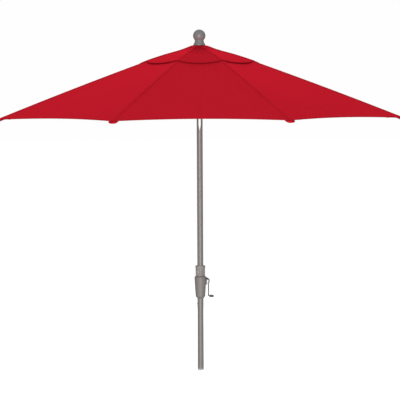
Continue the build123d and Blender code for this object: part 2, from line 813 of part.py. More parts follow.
for number, azimuth in enumerate(rib_azimuths, start=1):
    plane = radial_plane(azimuth)

    with BuildPart() as rib:
        with BuildSketch(plane):
            with BuildLine():
                rib_outline(rib_start, rib_tip_radius, rib_half_height)
            make_face()
        extrude(amount=rib_width / 2, both=True)
        with BuildSketch(plane):
            with BuildLine():
                rib_outline(rib_start + 20, rib_tip_radius + 5, rib_half_height - rib_wall * 1.05)
            make_face()
        extrude(amount=rib_width / 2 - rib_wall, both=True, mode=Mode.SUBTRACT)
        with BuildSketch(plane):
            with Locations((pivot_radius, hub_pivot_z)):
                Circle(eye_radius)
            with BuildLine():
                Polyline(
                    (pivot_radius, hub_pivot_z + eye_radius),
                    (rib_start + 4, rib_height(rib_start + 4) + eye_radius),
                    (rib_start + 4, rib_height(rib_start + 4) - eye_radius),
                    (pivot_radius, hub_pivot_z - eye_radius),
                    close=True,
                )
            make_face()
            with Locations((pivot_radius, hub_pivot_z)):
                Circle(wire_radius + running_gap, mode=Mode.SUBTRACT)
        extrude(amount=tongue_width / 2, both=True)
    rib.part.label = f"rib_{number}"
    export_step(rib.part, f"parts/rib_{number}.step")

    with BuildPart() as rib_fittings:
        with BuildSketch(plane):
            with BuildLine():
                Polyline(
                    (knee_radius - knee_half, rib_height(knee_radius - knee_half)),
                    (knee_radius + 3 * knee_half, rib_height(knee_radius + 3 * knee_half)),
                    (knee_radius + 3 * knee_half, rib_height(knee_radius + 3 * knee_half) - rib_half_height - 1.7),
                    (knee_radius + 6, knee_z - 4),
                    (knee_radius - 6, knee_z - 4),
                    (knee_radius - knee_half, rib_height(knee_radius - knee_half) - rib_half_height),
                    close=True,
                )
            make_face()
            with Locations((knee_radius, knee_z)):
                Circle(7.2)
            with Locations((knee_radius, knee_z)):
                Circle(rivet_radius + 0.02, mode=Mode.SUBTRACT)
        extrude(amount=bracket_outer, both=True)
        with BuildSketch(plane):
            with Locations((knee_radius, knee_z)):
                Rectangle(500, 500)
        extrude(amount=bracket_inner, both=True, mode=Mode.SUBTRACT)
        with BuildSketch(plane):
            with BuildLine():
                web_in = knee_radius + 1.7 * knee_half
                web_out = knee_radius + 3 * knee_half
                Polyline(
                    (web_in, rib_height(web_in) - rib_half_height - 0.1),
                    (web_out, rib_height(web_out) - rib_half_height - 0.1),
                    (web_out, rib_height(web_out) - rib_half_height - 1.7),
                    (web_in, rib_height(web_in) - rib_half_height - 1.7),
                    close=True,
                )
            make_face()
        extrude(amount=bracket_outer, both=True)
        with BuildSketch(plane):
            with Locations((knee_radius, knee_z)):
                Circle(rivet_radius)
        extrude(amount=bracket_outer + 0.05, both=True)
        for side in (-1, 1):
            with BuildSketch(plane.offset(side * (bracket_outer + 0.05))):
                with Locations((knee_radius, knee_z)):
                    Circle(rivet_radius + 1.7)
            extrude(amount=side * 1.3)
        with BuildSketch(plane):
            with BuildLine():
                tip_plug = rib_tip_radius - 14
                Polyline(
                    (tip_plug, rib_height(tip_plug) + rib_half_height - 1.2),
                    (rib_tip_radius + 0.1, rib_height(rib_tip_radius) + rib_half_height - 1.2),
                    (rib_tip_radius + 0.1, rib_height(rib_tip_radius) - rib_half_height + 1.2),
                    (tip_plug, rib_height(tip_plug) - rib_half_height + 1.2),
                    close=True,
                )
            make_face()
        extrude(amount=rib_width / 2 - rib_wall - 0.1, both=True)
        with BuildSketch(plane):
            with BuildLine():
                nose = rib_tip_radius + 13
                Polyline(
                    (rib_tip_radius + 0.1, rib_height(rib_tip_radius) + rib_half_height),
                    (nose, rib_height(nose) + rib_half_height - 3),
                    (nose, rib_height(nose) - rib_half_height + 3),
                    (rib_tip_radius + 0.1, rib_height(rib_tip_radius) - rib_half_height),
                    close=True,
                )
            make_face()
        extrude(amount=rib_width / 2, both=True)
    rib_fittings.part.label = f"rib_fittings_{number}"
    export_step(rib_fittings.part, f"parts/rib_fittings_{number}.step")

    with BuildPart() as strut:
        with BuildSketch(plane):
            with Locations(strut_middle):
                Rectangle(strut_length, 2 * strut_half_height)
            with Locations((pivot_radius, runner_pivot_z), (knee_radius, knee_z)):
                Circle(strut_half_height)
        extrude(amount=strut_width / 2, both=True)
        with BuildSketch(plane):
            with Locations(strut_middle):
                Rectangle(strut_length - 40, 2 * strut_half_height - 2)
        extrude(amount=strut_width / 2 - 1, both=True, mode=Mode.SUBTRACT)
        with BuildSketch(plane):
            with Locations((knee_radius, knee_z)):
                Circle(rivet_radius + running_gap)
            with Locations((pivot_radius, runner_pivot_z)):
                Circle(wire_radius + 0.3)
        extrude(amount=strut_width, both=True, mode=Mode.SUBTRACT)
    strut.part.label = f"strut_{number}"
    export_step(strut.part, f"parts/strut_{number}.step")

    # The cloth beside the rib, one half each way out to the middle of the gore
    halves = []
    for side in (-1, 1):
        middle_azimuth = azimuth + side * half_gore
        for inner, outer, scallop, profile in (main_cloth, vent_cloth):
            with BuildPart() as panel:
                with BuildSketch(Plane.XY.offset(canopy_low_z)):
                    with BuildLine():
                        panel_outline(middle_azimuth, side, inner, outer, scallop)
                    make_face()
                extrude(amount=canopy_band)
                with BuildSketch(radial_plane(middle_azimuth)):
                    with BuildLine():
                        profile()
                    make_face()
                extrude(amount=canopy_radius, both=True, mode=Mode.INTERSECT)
            halves.append(panel.part)

    with BuildPart() as canopy_sector:
        for half in halves:
            add(half)
    canopy_sector.part.label = f"canopy_sector_{number}"
    export_step(canopy_sector.part, f"parts/canopy_sector_{number}.step")
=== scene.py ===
# Market umbrella: cloth, finishes, floor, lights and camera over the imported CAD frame. Metres, +Z up.
import json
from math import cos, pi, radians, sin, sqrt, tan

import bmesh
import bpy
from mathutils import Matrix, Vector


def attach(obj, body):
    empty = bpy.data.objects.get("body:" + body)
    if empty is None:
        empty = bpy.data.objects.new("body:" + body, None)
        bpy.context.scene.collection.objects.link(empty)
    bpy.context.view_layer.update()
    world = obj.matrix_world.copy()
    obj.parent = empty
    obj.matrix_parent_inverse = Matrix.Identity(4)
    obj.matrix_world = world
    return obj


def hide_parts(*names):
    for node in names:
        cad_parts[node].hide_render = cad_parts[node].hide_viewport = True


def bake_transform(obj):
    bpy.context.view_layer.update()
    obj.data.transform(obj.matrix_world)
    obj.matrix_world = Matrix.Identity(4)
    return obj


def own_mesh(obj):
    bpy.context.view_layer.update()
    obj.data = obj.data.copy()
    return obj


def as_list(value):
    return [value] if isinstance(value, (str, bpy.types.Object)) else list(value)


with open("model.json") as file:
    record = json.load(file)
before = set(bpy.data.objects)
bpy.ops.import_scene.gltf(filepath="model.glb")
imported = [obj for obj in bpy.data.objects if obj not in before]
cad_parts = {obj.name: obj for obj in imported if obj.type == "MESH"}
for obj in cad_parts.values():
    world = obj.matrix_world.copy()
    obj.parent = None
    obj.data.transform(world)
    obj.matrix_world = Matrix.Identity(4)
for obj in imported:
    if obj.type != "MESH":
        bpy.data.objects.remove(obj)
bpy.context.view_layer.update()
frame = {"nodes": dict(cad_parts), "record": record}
print("frame loaded:", len(frame["nodes"]), "nodes")


def addNode(tree, kind, settings=None, values=None):
    made = tree.nodes.new(kind)
    for name, value in (settings or {}).items():
        setattr(made, name, value)
    for name, value in (values or {}).items():
        made.inputs[name].default_value = value
    made.location = (220 * len(tree.nodes), 0)
    return made


def startGroup(name, inputs, outputs):
    group = bpy.data.node_groups.new(name, "ShaderNodeTree")
    for title, kind in inputs:
        group.interface.new_socket(title, in_out="INPUT", socket_type="NodeSocket" + kind)
    for title, kind in outputs:
        group.interface.new_socket(title, in_out="OUTPUT", socket_type="NodeSocket" + kind)
    return group, group.nodes.new("NodeGroupInput"), group.nodes.new("NodeGroupOutput")


def mathNode(tree, operation, first, second=None, third=None):
    made = addNode(tree, "ShaderNodeMath", {"operation": operation})
    for socket, value in zip(made.inputs, (first, second, third)):
        if isinstance(value, (int, float)):
            socket.default_value = value
        elif value is not None:
            tree.links.new(value, socket)
    return made.outputs[0]


# Fine grain of paint or moulded plastic, with patches of wear in the roughness
def makeGrainGroup():
    group, given, result = startGroup(
        "surfaceGrain",
        [("Scale", "Float"), ("Depth", "Float"), ("Rough", "Float"), ("Spread", "Float")],
        [("Roughness", "Float"), ("Normal", "Vector"), ("Patch", "Float")],
    )
    place = addNode(group, "ShaderNodeTexCoord")
    fine = addNode(group, "ShaderNodeTexNoise", None, {"Detail": 2.0, "Roughness": 0.5})
    patch = addNode(group, "ShaderNodeTexNoise", None, {"Scale": 11.0, "Detail": 5.0, "Roughness": 0.6})
    bump = addNode(group, "ShaderNodeBump", None, {"Strength": 1.0})
    group.links.new(place.outputs["Object"], fine.inputs["Vector"])
    group.links.new(place.outputs["Object"], patch.inputs["Vector"])
    group.links.new(given.outputs["Scale"], fine.inputs["Scale"])
    group.links.new(fine.outputs["Fac"], bump.inputs["Height"])
    group.links.new(given.outputs["Depth"], bump.inputs["Distance"])
    centred = mathNode(group, "SUBTRACT", patch.outputs["Fac"], 0.5)
    rough = mathNode(group, "MULTIPLY_ADD", centred, given.outputs["Spread"], given.outputs["Rough"])
    group.links.new(rough, result.inputs["Roughness"])
    group.links.new(bump.outputs["Normal"], result.inputs["Normal"])
    group.links.new(patch.outputs["Fac"], result.inputs["Patch"])
    return group


# Plain weave: at each crossing either the warp or the weft lies on top
def makeWeaveGroup():
    group, given, result = startGroup(
        "plainWeave", [("Flat", "Vector"), ("Threads", "Float")], [("Height", "Float"), ("Slub", "Float")]
    )
    parts = addNode(group, "ShaderNodeSeparateXYZ")
    group.links.new(given.outputs["Flat"], parts.inputs[0])
    warp = mathNode(group, "MULTIPLY", parts.outputs["X"], given.outputs["Threads"])
    weft = mathNode(group, "MULTIPLY", parts.outputs["Y"], given.outputs["Threads"])
    warpRise = mathNode(group, "ABSOLUTE", mathNode(group, "SINE", mathNode(group, "MULTIPLY", warp, pi)))
    weftRise = mathNode(group, "ABSOLUTE", mathNode(group, "SINE", mathNode(group, "MULTIPLY", weft, pi)))
    cell = mathNode(group, "ADD", mathNode(group, "FLOOR", warp), mathNode(group, "FLOOR", weft))
    onTop = mathNode(group, "ABSOLUTE", mathNode(group, "MODULO", cell, 2.0))
    warpPart = mathNode(group, "MULTIPLY", warpRise, onTop)
    weftPart = mathNode(group, "MULTIPLY", weftRise, mathNode(group, "SUBTRACT", 1.0, onTop))
    slub = addNode(group, "ShaderNodeTexNoise", None, {"Scale": 60.0, "Detail": 2.0})
    group.links.new(given.outputs["Flat"], slub.inputs["Vector"])
    group.links.new(mathNode(group, "ADD", warpPart, weftPart), result.inputs["Height"])
    group.links.new(slub.outputs["Fac"], result.inputs["Slub"])
    return group


stitchRow = {"thread": 0.001, "shown": 0.74}  # shown is the share of a stitch that lies on top


# A row of lock stitches at a distance from the edge that the UV map gives
def makeStitchGroup():
    group, given, result = startGroup(
        "stitchRow", [("Edge", "Vector"), ("Place", "Float"), ("Length", "Float")], [("Mask", "Float")]
    )
    parts = addNode(group, "ShaderNodeSeparateXYZ")
    group.links.new(given.outputs["Edge"], parts.inputs[0])
    away = mathNode(group, "ABSOLUTE", mathNode(group, "SUBTRACT", parts.outputs["Y"], given.outputs["Place"]))
    onRow = mathNode(group, "LESS_THAN", away, stitchRow["thread"] / 2)
    step = mathNode(group, "FRACT", mathNode(group, "DIVIDE", parts.outputs["X"], given.outputs["Length"]))
    onStitch = mathNode(group, "LESS_THAN", step, stitchRow["shown"])
    group.links.new(mathNode(group, "MULTIPLY", onRow, onStitch), result.inputs["Mask"])
    return group


grainGroup, weaveGroup, stitchGroup = makeGrainGroup(), makeWeaveGroup(), makeStitchGroup()


def useGroup(tree, group, values):
    return addNode(tree, "ShaderNodeGroup", {"node_tree": group}, values)


def startMaterial(name, roughness, metallic=0.0, specular=0.5):
    made = bpy.data.materials.new(name)
    made.use_nodes = True
    shader = made.node_tree.nodes["Principled BSDF"]
    shader.inputs["Roughness"].default_value = roughness
    shader.inputs["Metallic"].default_value = metallic
    shader.inputs["Specular IOR Level"].default_value = specular
    return made, made.node_tree, shader


# Paints and plastics: grain gives the fine bump and its size, spread is how far the roughness varies
polePaint = {"colour": (0.272, 0.252, 0.236), "rough": 0.36, "spread": 0.12, "scale": 900.0, "depth": 0.00005}
ribPaint = {"colour": (0.300, 0.280, 0.257), "rough": 0.42, "spread": 0.12, "scale": 900.0, "depth": 0.00005}
housingPlastic = {"colour": (0.275, 0.257, 0.240), "rough": 0.50, "spread": 0.10, "scale": 1500.0, "depth": 0.00008}
finialPlastic = {"colour": (0.245, 0.242, 0.245), "rough": 0.38, "spread": 0.10, "scale": 700.0, "depth": 0.00004}
footPlastic = {"colour": (0.40, 0.395, 0.385), "rough": 0.55, "spread": 0.25, "scale": 600.0, "depth": 0.00010}
darkPlastic = {"colour": (0.030, 0.029, 0.027), "rough": 0.50, "spread": 0.10, "scale": 1200.0, "depth": 0.00005}
darkSteel = {"colour": (0.035, 0.033, 0.030), "rough": 0.42, "spread": 0.18, "scale": 800.0, "depth": 0.00005}
knobPlastic = {"colour": (0.135, 0.135, 0.135), "rough": 0.48, "spread": 0.12, "scale": 900.0, "depth": 0.00008}
pulleyNylon = {"colour": (0.66, 0.64, 0.58), "rough": 0.36, "spread": 0.10, "scale": 500.0, "depth": 0.00003}


def coatedFinish(name, look):
    made, tree, shader = startMaterial(name, look["rough"])
    values = {"Scale": look["scale"], "Depth": look["depth"], "Rough": look["rough"], "Spread": look["spread"]}
    grain = useGroup(tree, grainGroup, values)
    tone = addNode(tree, "ShaderNodeHueSaturation", None, {"Color": (*look["colour"], 1.0)})
    tree.links.new(mathNode(tree, "MULTIPLY_ADD", grain.outputs["Patch"], 0.14, 0.93), tone.inputs["Value"])
    tree.links.new(tone.outputs["Color"], shader.inputs["Base Color"])
    tree.links.new(grain.outputs["Roughness"], shader.inputs["Roughness"])
    tree.links.new(grain.outputs["Normal"], shader.inputs["Normal"])
    return made


brightSteel = {
    "colour": (0.20, 0.196, 0.190),
    "rough": 0.42,
    "dulling": 0.24,
    "brushing": 900.0,
    "brushDepth": 0.00002,
}


# Zinc plate: fine brushing along the part's length, dulled in patches
def steelFinish(name, look):
    made, tree, shader = startMaterial(name, look["rough"], metallic=1.0)
    place = addNode(tree, "ShaderNodeTexCoord")
    stretch = addNode(tree, "ShaderNodeMapping", None, {"Scale": (1.0, 1.0, 0.06)})
    brush = addNode(tree, "ShaderNodeTexNoise", None, {"Scale": look["brushing"], "Detail": 3.0})
    dull = addNode(tree, "ShaderNodeTexNoise", None, {"Scale": 40.0, "Detail": 4.0})
    bump = addNode(tree, "ShaderNodeBump", None, {"Strength": 0.8, "Distance": look["brushDepth"]})
    tone = addNode(tree, "ShaderNodeHueSaturation", None, {"Color": (*look["colour"], 1.0)})
    tree.links.new(place.outputs["Object"], stretch.inputs["Vector"])
    tree.links.new(stretch.outputs["Vector"], brush.inputs["Vector"])
    tree.links.new(place.outputs["Object"], dull.inputs["Vector"])
    tree.links.new(brush.outputs["Fac"], bump.inputs["Height"])
    dulled = mathNode(tree, "MULTIPLY_ADD", dull.outputs["Fac"], look["dulling"], look["rough"] - look["dulling"] / 2)
    tree.links.new(dulled, shader.inputs["Roughness"])
    tree.links.new(mathNode(tree, "MULTIPLY_ADD", dull.outputs["Fac"], 0.2, 0.9), tone.inputs["Value"])
    tree.links.new(tone.outputs["Color"], shader.inputs["Base Color"])
    tree.links.new(bump.outputs["Normal"], shader.inputs["Normal"])
    return made


collarGrip = {
    "colour": (0.430, 0.404, 0.374),
    "low": 0.50,  # how light the painted shade leaves the ground against the cells
    "rough": 0.55,
    "cells": 150.0,
    "loose": 0.75,
    "edge": (0.02, 0.22),
    "depth": 0.0006,
}


# The collar's moulded grip: raised cells, with painted shade darkening the ground between them
def gripFinish(name, look):
    made, tree, shader = startMaterial(name, look["rough"])
    place = addNode(tree, "ShaderNodeTexCoord")
    spread = {"Scale": look["cells"], "Randomness": look["loose"]}
    cells = addNode(tree, "ShaderNodeTexVoronoi", {"feature": "DISTANCE_TO_EDGE"}, spread)
    foot, top = look["edge"]
    rise = addNode(tree, "ShaderNodeMapRange", None, {"From Min": foot, "From Max": top})
    patch = addNode(tree, "ShaderNodeTexNoise", None, {"Scale": 130.0, "Detail": 2.0})
    bump = addNode(tree, "ShaderNodeBump", None, {"Strength": 0.9, "Distance": look["depth"]})
    tone = addNode(tree, "ShaderNodeHueSaturation", None, {"Color": (*look["colour"], 1.0)})
    tree.links.new(place.outputs["Object"], cells.inputs["Vector"])
    tree.links.new(place.outputs["Object"], patch.inputs["Vector"])
    tree.links.new(cells.outputs["Distance"], rise.inputs["Value"])
    tree.links.new(rise.outputs["Result"], bump.inputs["Height"])
    # Painted shade: the ground between the cells is darker, and the plastic there is the same colour
    ground = mathNode(tree, "MULTIPLY_ADD", rise.outputs["Result"], 1.0 - look["low"], look["low"])
    mottled = mathNode(tree, "MULTIPLY", ground, mathNode(tree, "MULTIPLY_ADD", patch.outputs["Fac"], 0.9, 0.65))
    tree.links.new(mottled, tone.inputs["Value"])
    tree.links.new(tone.outputs["Color"], shader.inputs["Base Color"])
    tree.links.new(bump.outputs["Normal"], shader.inputs["Normal"])
    return made


cordBraid = {"colour": (0.50, 0.49, 0.455), "strands": 260.0, "depth": 0.0002}


# Braided cord: two sets of strands that cross, with painted shade in the grooves between them
def braidFinish(name, look):
    made, tree, shader = startMaterial(name, 0.8, specular=0.25)
    place = addNode(tree, "ShaderNodeTexCoord")
    rises = []
    for turn in (0.9, -0.9):
        lay = addNode(tree, "ShaderNodeMapping", None, {"Rotation": (turn, turn, 0.0)})
        wave = addNode(tree, "ShaderNodeTexWave", {"bands_direction": "Z"}, {"Scale": look["strands"]})
        tree.links.new(place.outputs["Object"], lay.inputs["Vector"])
        tree.links.new(lay.outputs["Vector"], wave.inputs["Vector"])
        rises.append(wave.outputs["Fac"])
    height = mathNode(tree, "MAXIMUM", *rises)
    bump = addNode(tree, "ShaderNodeBump", None, {"Strength": 0.7, "Distance": look["depth"]})
    tone = addNode(tree, "ShaderNodeHueSaturation", None, {"Color": (*look["colour"], 1.0)})
    tree.links.new(height, bump.inputs["Height"])
    # Painted shade: the grooves between the strands are darker than the strands' tops
    tree.links.new(mathNode(tree, "MULTIPLY_ADD", height, 0.4, 0.65), tone.inputs["Value"])
    tree.links.new(tone.outputs["Color"], shader.inputs["Base Color"])
    tree.links.new(bump.outputs["Normal"], shader.inputs["Normal"])
    return made


cloth = {
    "colour": (0.600, 0.0122, 0.0262),
    "thread": (0.40, 0.012, 0.020),
    "rough": 0.88,
    "threads": 1700.0,
    "depth": 0.00010,
    "stitch": 0.0038,
}


# rows are the distances of the stitching from the edge that the second UV map measures from
def clothFinish(name, look, rows, paintedShade=1.0):
    made, tree, shader = startMaterial(name, look["rough"], specular=0.0)
    flat = addNode(tree, "ShaderNodeUVMap", {"uv_map": "flatCloth"})
    edge = addNode(tree, "ShaderNodeUVMap", {"uv_map": "fromEdge"})
    weave = useGroup(tree, weaveGroup, {"Threads": look["threads"]})
    tree.links.new(flat.outputs["UV"], weave.inputs["Flat"])
    stitched = 0.0
    for row in rows:
        stitches = useGroup(tree, stitchGroup, {"Place": row, "Length": look["stitch"]})
        tree.links.new(edge.outputs["UV"], stitches.inputs["Edge"])
        stitched = mathNode(tree, "MAXIMUM", stitches.outputs["Mask"], stitched)
    place = addNode(tree, "ShaderNodeTexCoord")
    fade = addNode(tree, "ShaderNodeTexNoise", None, {"Scale": 2.2, "Detail": 3.0})
    tree.links.new(place.outputs["Object"], fade.inputs["Vector"])
    # Painted shade: the cloth's colour is darkened by this factor for pieces that sit in shade
    shaded = tuple(paintedShade * part for part in look["colour"])
    tone = addNode(tree, "ShaderNodeHueSaturation", None, {"Color": (*shaded, 1.0)})
    # Painted shade: the weave's dips between threads are darker than the crests
    weaveShade = mathNode(tree, "MULTIPLY_ADD", weave.outputs["Height"], 0.16, 0.90)
    slubTone = mathNode(tree, "MULTIPLY_ADD", weave.outputs["Slub"], 0.10, 0.95)
    fadeTone = mathNode(tree, "MULTIPLY_ADD", fade.outputs["Fac"], 0.08, 0.96)
    clothTone = mathNode(tree, "MULTIPLY", mathNode(tree, "MULTIPLY", weaveShade, slubTone), fadeTone)
    tree.links.new(clothTone, tone.inputs["Value"])
    mixed = addNode(tree, "ShaderNodeMix", {"data_type": "RGBA"})
    mixed.inputs["B"].default_value = (*look["thread"], 1.0)
    tree.links.new(tone.outputs["Color"], mixed.inputs["A"])
    tree.links.new(stitched, mixed.inputs["Factor"])
    tree.links.new(mixed.outputs["Result"], shader.inputs["Base Color"])
    raised = mathNode(tree, "MULTIPLY_ADD", stitched, 2.0, weave.outputs["Height"])
    bump = addNode(tree, "ShaderNodeBump", None, {"Strength": 0.6, "Distance": look["depth"]})
    tree.links.new(raised, bump.inputs["Height"])
    tree.links.new(bump.outputs["Normal"], shader.inputs["Normal"])
    return made


finishes = {
    "pole_paint": coatedFinish("polePaint", polePaint),
    "rib_paint": coatedFinish("ribPaint", ribPaint),
    "housing_plastic": coatedFinish("housingPlastic", housingPlastic),
    "finial_plastic": coatedFinish("finialPlastic", finialPlastic),
    "foot_plastic": coatedFinish("footPlastic", footPlastic),
    "dark_plastic": coatedFinish("darkPlastic", darkPlastic),
    "dark_steel": coatedFinish("darkSteel", darkSteel),
    "bright_steel": steelFinish("brightSteel", brightSteel),
    "knob_plastic": coatedFinish("knobPlastic", knobPlastic),
    "pulley_nylon": coatedFinish("pulleyNylon", pulleyNylon),
    "lift_cord": braidFinish("liftCord", cordBraid),
    "canopy_cloth": clothFinish("canopyCloth", cloth, (0.003, 0.019)),
}
# Painted shade: the vent flaps, seam bindings and corner pockets are darker copies of the same cloth
ventFinish = clothFinish("ventCloth", cloth, (0.003, 0.012), 0.92)
seamFinish = clothFinish("seamCloth", cloth, (0.0075,), 0.97)
pocketFinish = clothFinish("pocketCloth", cloth, (0.004, 0.010), 0.92)
gripMaterial = gripFinish("collarGrip", collarGrip)

# Every carried-over part takes the finish of its slot; the collar has its grip
for part in frame["record"]["subparts"]:
    shown = frame["nodes"][part["node"]]
    shown.data.materials.clear()
    shown.data.materials.append(gripMaterial if part["node"] == "tilt_collar" else finishes[part["material_slot"]])
print("finishes:", len(bpy.data.materials))


canopy = {
    "gores": 8,
    "inner": 0.262,
    "radius": 1.3716,
    "scallop": 0.028,  # how far the hem is cut in at the middle of a gore
    "hem": 0.022,
    "thickness": 0.0012,
    "sag": 0.006,
    "keep": 0.15,  # the closed cloth's share of its open width
    "line": {"radius": 0.379, "height": 1.99275, "slope": 0.342, "bend": 0.01865},
    "across": 20,
    "along": 52,
}
vent = {
    "inner": 0.060,
    "radius": 0.366,
    "scallop": -0.048,  # the flap's hem bows out
    "hem": 0.015,
    "thickness": 0.0012,
    "sag": 0.003,
    "keep": 0.24,
    "across": 16,
    "along": 30,
    "heights": [
        (0.012, 2.0992),
        (0.044, 2.0992),
        (0.057, 2.0960),
        (0.126, 2.0715),
        (0.249, 2.0385),
        (0.366, 2.0020),
        (0.430, 1.9790),
    ],
}
slant = 1.07  # the cloth's length down the slope for each metre outwards
halfGore = pi / canopy["gores"]
ribs = range(1, canopy["gores"] + 1)


def ribTurn(number):
    return halfGore * (2 * number - 1)


def clothHeight(radius):
    line = canopy["line"]
    run = radius - line["radius"]
    return line["height"] - line["slope"] * run - line["bend"] * run * run


# A smooth line through the flap's heights, flat at the hub
def ventHeight(radius):
    points = vent["heights"]
    for index in range(len(points) - 1):
        if radius <= points[index + 1][0] or index == len(points) - 2:
            break
    (nearRadius, nearHeight), (farRadius, farHeight) = points[index], points[index + 1]
    before, after = points[max(index - 1, 0)], points[min(index + 2, len(points) - 1)]
    share = (radius - nearRadius) / (farRadius - nearRadius)
    span = farRadius - nearRadius
    nearSlope = (farHeight - before[1]) / (farRadius - before[0]) * span
    farSlope = (after[1] - nearHeight) / (after[0] - nearRadius) * span
    square, cube = share * share, share * share * share
    return (
        (2 * cube - 3 * square + 1) * nearHeight
        + (cube - 2 * square + share) * nearSlope
        + (3 * square - 2 * cube) * farHeight
        + (cube - square) * farSlope
    )


# share is 0 at the middle of the gore and 1 on the rib
def hemRadius(look, share):
    return look["radius"] - look["scallop"] / cos(halfGore) * (1 - share * share)


def goreSpot(number, side, radius, share, height):
    middle = ribTurn(number) + side * halfGore
    forward = radius * cos(halfGore)
    sideways = -side * share * radius * sin(halfGore)
    east = forward * cos(middle) - sideways * sin(middle)
    north = forward * sin(middle) + sideways * cos(middle)
    return Vector((east, north, height))


def sagAt(look, radius, share):
    reach = (radius - look["inner"]) / (hemRadius(look, share) - look["inner"])
    return look["sag"] * (1 - share * share) * sin(pi * min(max(reach, 0), 1))


# Mesh from a flat grid: spot gives each point's place, maps give its UVs, both from its shares across and along
def gridMesh(name, across, along, spot, maps, closed=False):
    mesh = bpy.data.meshes.new(name)
    work = bmesh.new()
    bmesh.ops.create_grid(work, x_segments=across, y_segments=along, size=0.5)
    layers = {title: work.loops.layers.uv.new(title) for title in maps}
    for face in work.faces:
        for corner in face.loops:
            for title, flat in maps.items():
                corner[layers[title]].uv = flat(corner.vert.co.x + 0.5, corner.vert.co.y + 0.5)
    for vert in work.verts:
        vert.co = spot(vert.co.x + 0.5, vert.co.y + 0.5)
    if closed:
        bmesh.ops.remove_doubles(work, verts=work.verts, dist=0.00001)
        bmesh.ops.recalc_face_normals(work, faces=work.faces)
    else:
        work.normal_update()
        if sum(face.normal.z * face.calc_area() for face in work.faces) < 0:
            bmesh.ops.reverse_faces(work, faces=work.faces)
    for face in work.faces:
        face.smooth = True
    work.to_mesh(mesh)
    work.free()
    piece = bpy.data.objects.new(name, mesh)
    bpy.context.scene.collection.objects.link(piece)
    return piece


def thicken(piece, thickness, group=None, lowest=1.0):
    solid = piece.modifiers.new("clothThickness", "SOLIDIFY")
    solid.thickness = thickness
    solid.offset = 0.0
    solid.use_even_offset = False
    if group:
        solid.vertex_group = group
        solid.thickness_vertex_group = lowest
    piece.data.set_sharp_from_angle(angle=radians(35))
    # The cut edges would otherwise darken the cloth beside them
    even = piece.modifiers.new("evenNormals", "WEIGHTED_NORMAL")
    even.weight = 90
    even.keep_sharp = True


def finishPiece(piece, material, body):
    piece.data.materials.append(material)
    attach(piece, body)
    return piece


hemStep = 0.0006  # the double cloth of a hem begins within this


# Rows run to the hem's edge, with a close pair where the hem's double cloth begins
def rowRadius(look, share, row):
    edge = hemRadius(look, share)
    start = edge - look["hem"]
    last = look["along"] - 3
    count = round(row * look["along"])
    if count <= last:
        return look["inner"] + (start - look["inner"]) * count / last
    return (start + hemStep, start + look["hem"] / 2, edge)[count - last - 1]


def makePanel(title, look, height, number, side):
    def spot(share, row):
        radius = rowRadius(look, share, row)
        return goreSpot(number, side, radius, share, height(radius) - sagAt(look, radius, share))

    def flatCloth(share, row):
        radius = rowRadius(look, share, row)
        return (share * radius * sin(halfGore), radius * cos(halfGore) * slant)

    def fromEdge(share, row):
        return (share * look["radius"] * sin(halfGore), hemRadius(look, share) - rowRadius(look, share, row))

    name = f"{title}{number}{'left' if side > 0 else 'right'}"
    piece = gridMesh(name, look["across"], look["along"], spot, {"flatCloth": flatCloth, "fromEdge": fromEdge})
    flatArea = sum(face.area for face in piece.data.polygons)
    doubled = piece.vertex_groups.new(name="hem")
    turn = ribTurn(number) + side * halfGore
    for vert in piece.data.vertices:
        forward = vert.co.x * cos(turn) + vert.co.y * sin(turn)
        sideways = abs(vert.co.y * cos(turn) - vert.co.x * sin(turn))
        radius = forward / cos(halfGore)
        inHem = radius > hemRadius(look, min(sideways / (radius * sin(halfGore)), 1)) - look["hem"] + hemStep / 2
        doubled.add([vert.index], 1.0 if inHem else 0.5, "REPLACE")
    thicken(piece, 2 * look["thickness"], "hem", 0.0)
    finishPiece(piece, ventFinish if look is vent else finishes["canopy_cloth"], f"rib_{number}")
    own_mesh(piece)
    return piece, flatArea


seam = {"width": 0.020, "thickness": 0.0007, "lift": 0.0013, "ventWidth": 0.018, "across": 8}


# The seam's binding lies over the rib and stays with it
def makeSeam(title, look, height, width, number):
    def place(across, row):
        away = (2 * across - 1) * width / 2
        radius = look["inner"] + (look["radius"] - look["inner"]) * row
        share = max(1 - abs(away) / (radius * sin(halfGore) * cos(halfGore)), 0)
        radius = look["inner"] + (hemRadius(look, share) - look["inner"]) * row
        return away, radius, share

    def spot(across, row):
        away, radius, share = place(across, row)
        return goreSpot(number, 1 if away > 0 else -1, radius, share, height(radius) + seam["lift"])

    def flatCloth(across, row):
        away, radius = place(across, row)[:2]
        return (away, radius * slant)

    def fromEdge(across, row):
        away, radius = place(across, row)[:2]
        return (radius * slant, abs(away))

    maps = {"flatCloth": flatCloth, "fromEdge": fromEdge}
    piece = gridMesh(f"{title}{number}", seam["across"], look["along"], spot, maps)
    thicken(piece, seam["thickness"])
    return finishPiece(piece, seamFinish, f"rib_{number}")


pocket = {
    "width": 0.058,
    "belly": 0.0116,  # how far the sleeve hangs below its widest line
    "back": 0.0015,
    "mouth": 1.332,
    "tip": 1.3800,
    "drop": 0.0030,
    "flare": 0.06,
    "thickness": 0.001,
    "round": 0.20,  # the share of its length over which the end closes
    "blunt": 0.2,
    "wrap": 0.6,  # how closely it follows the two hems that meet at the corner
    "droop": 0.11,
    "girth": 2.4,
    "around": 40,
    "along": 20,
}


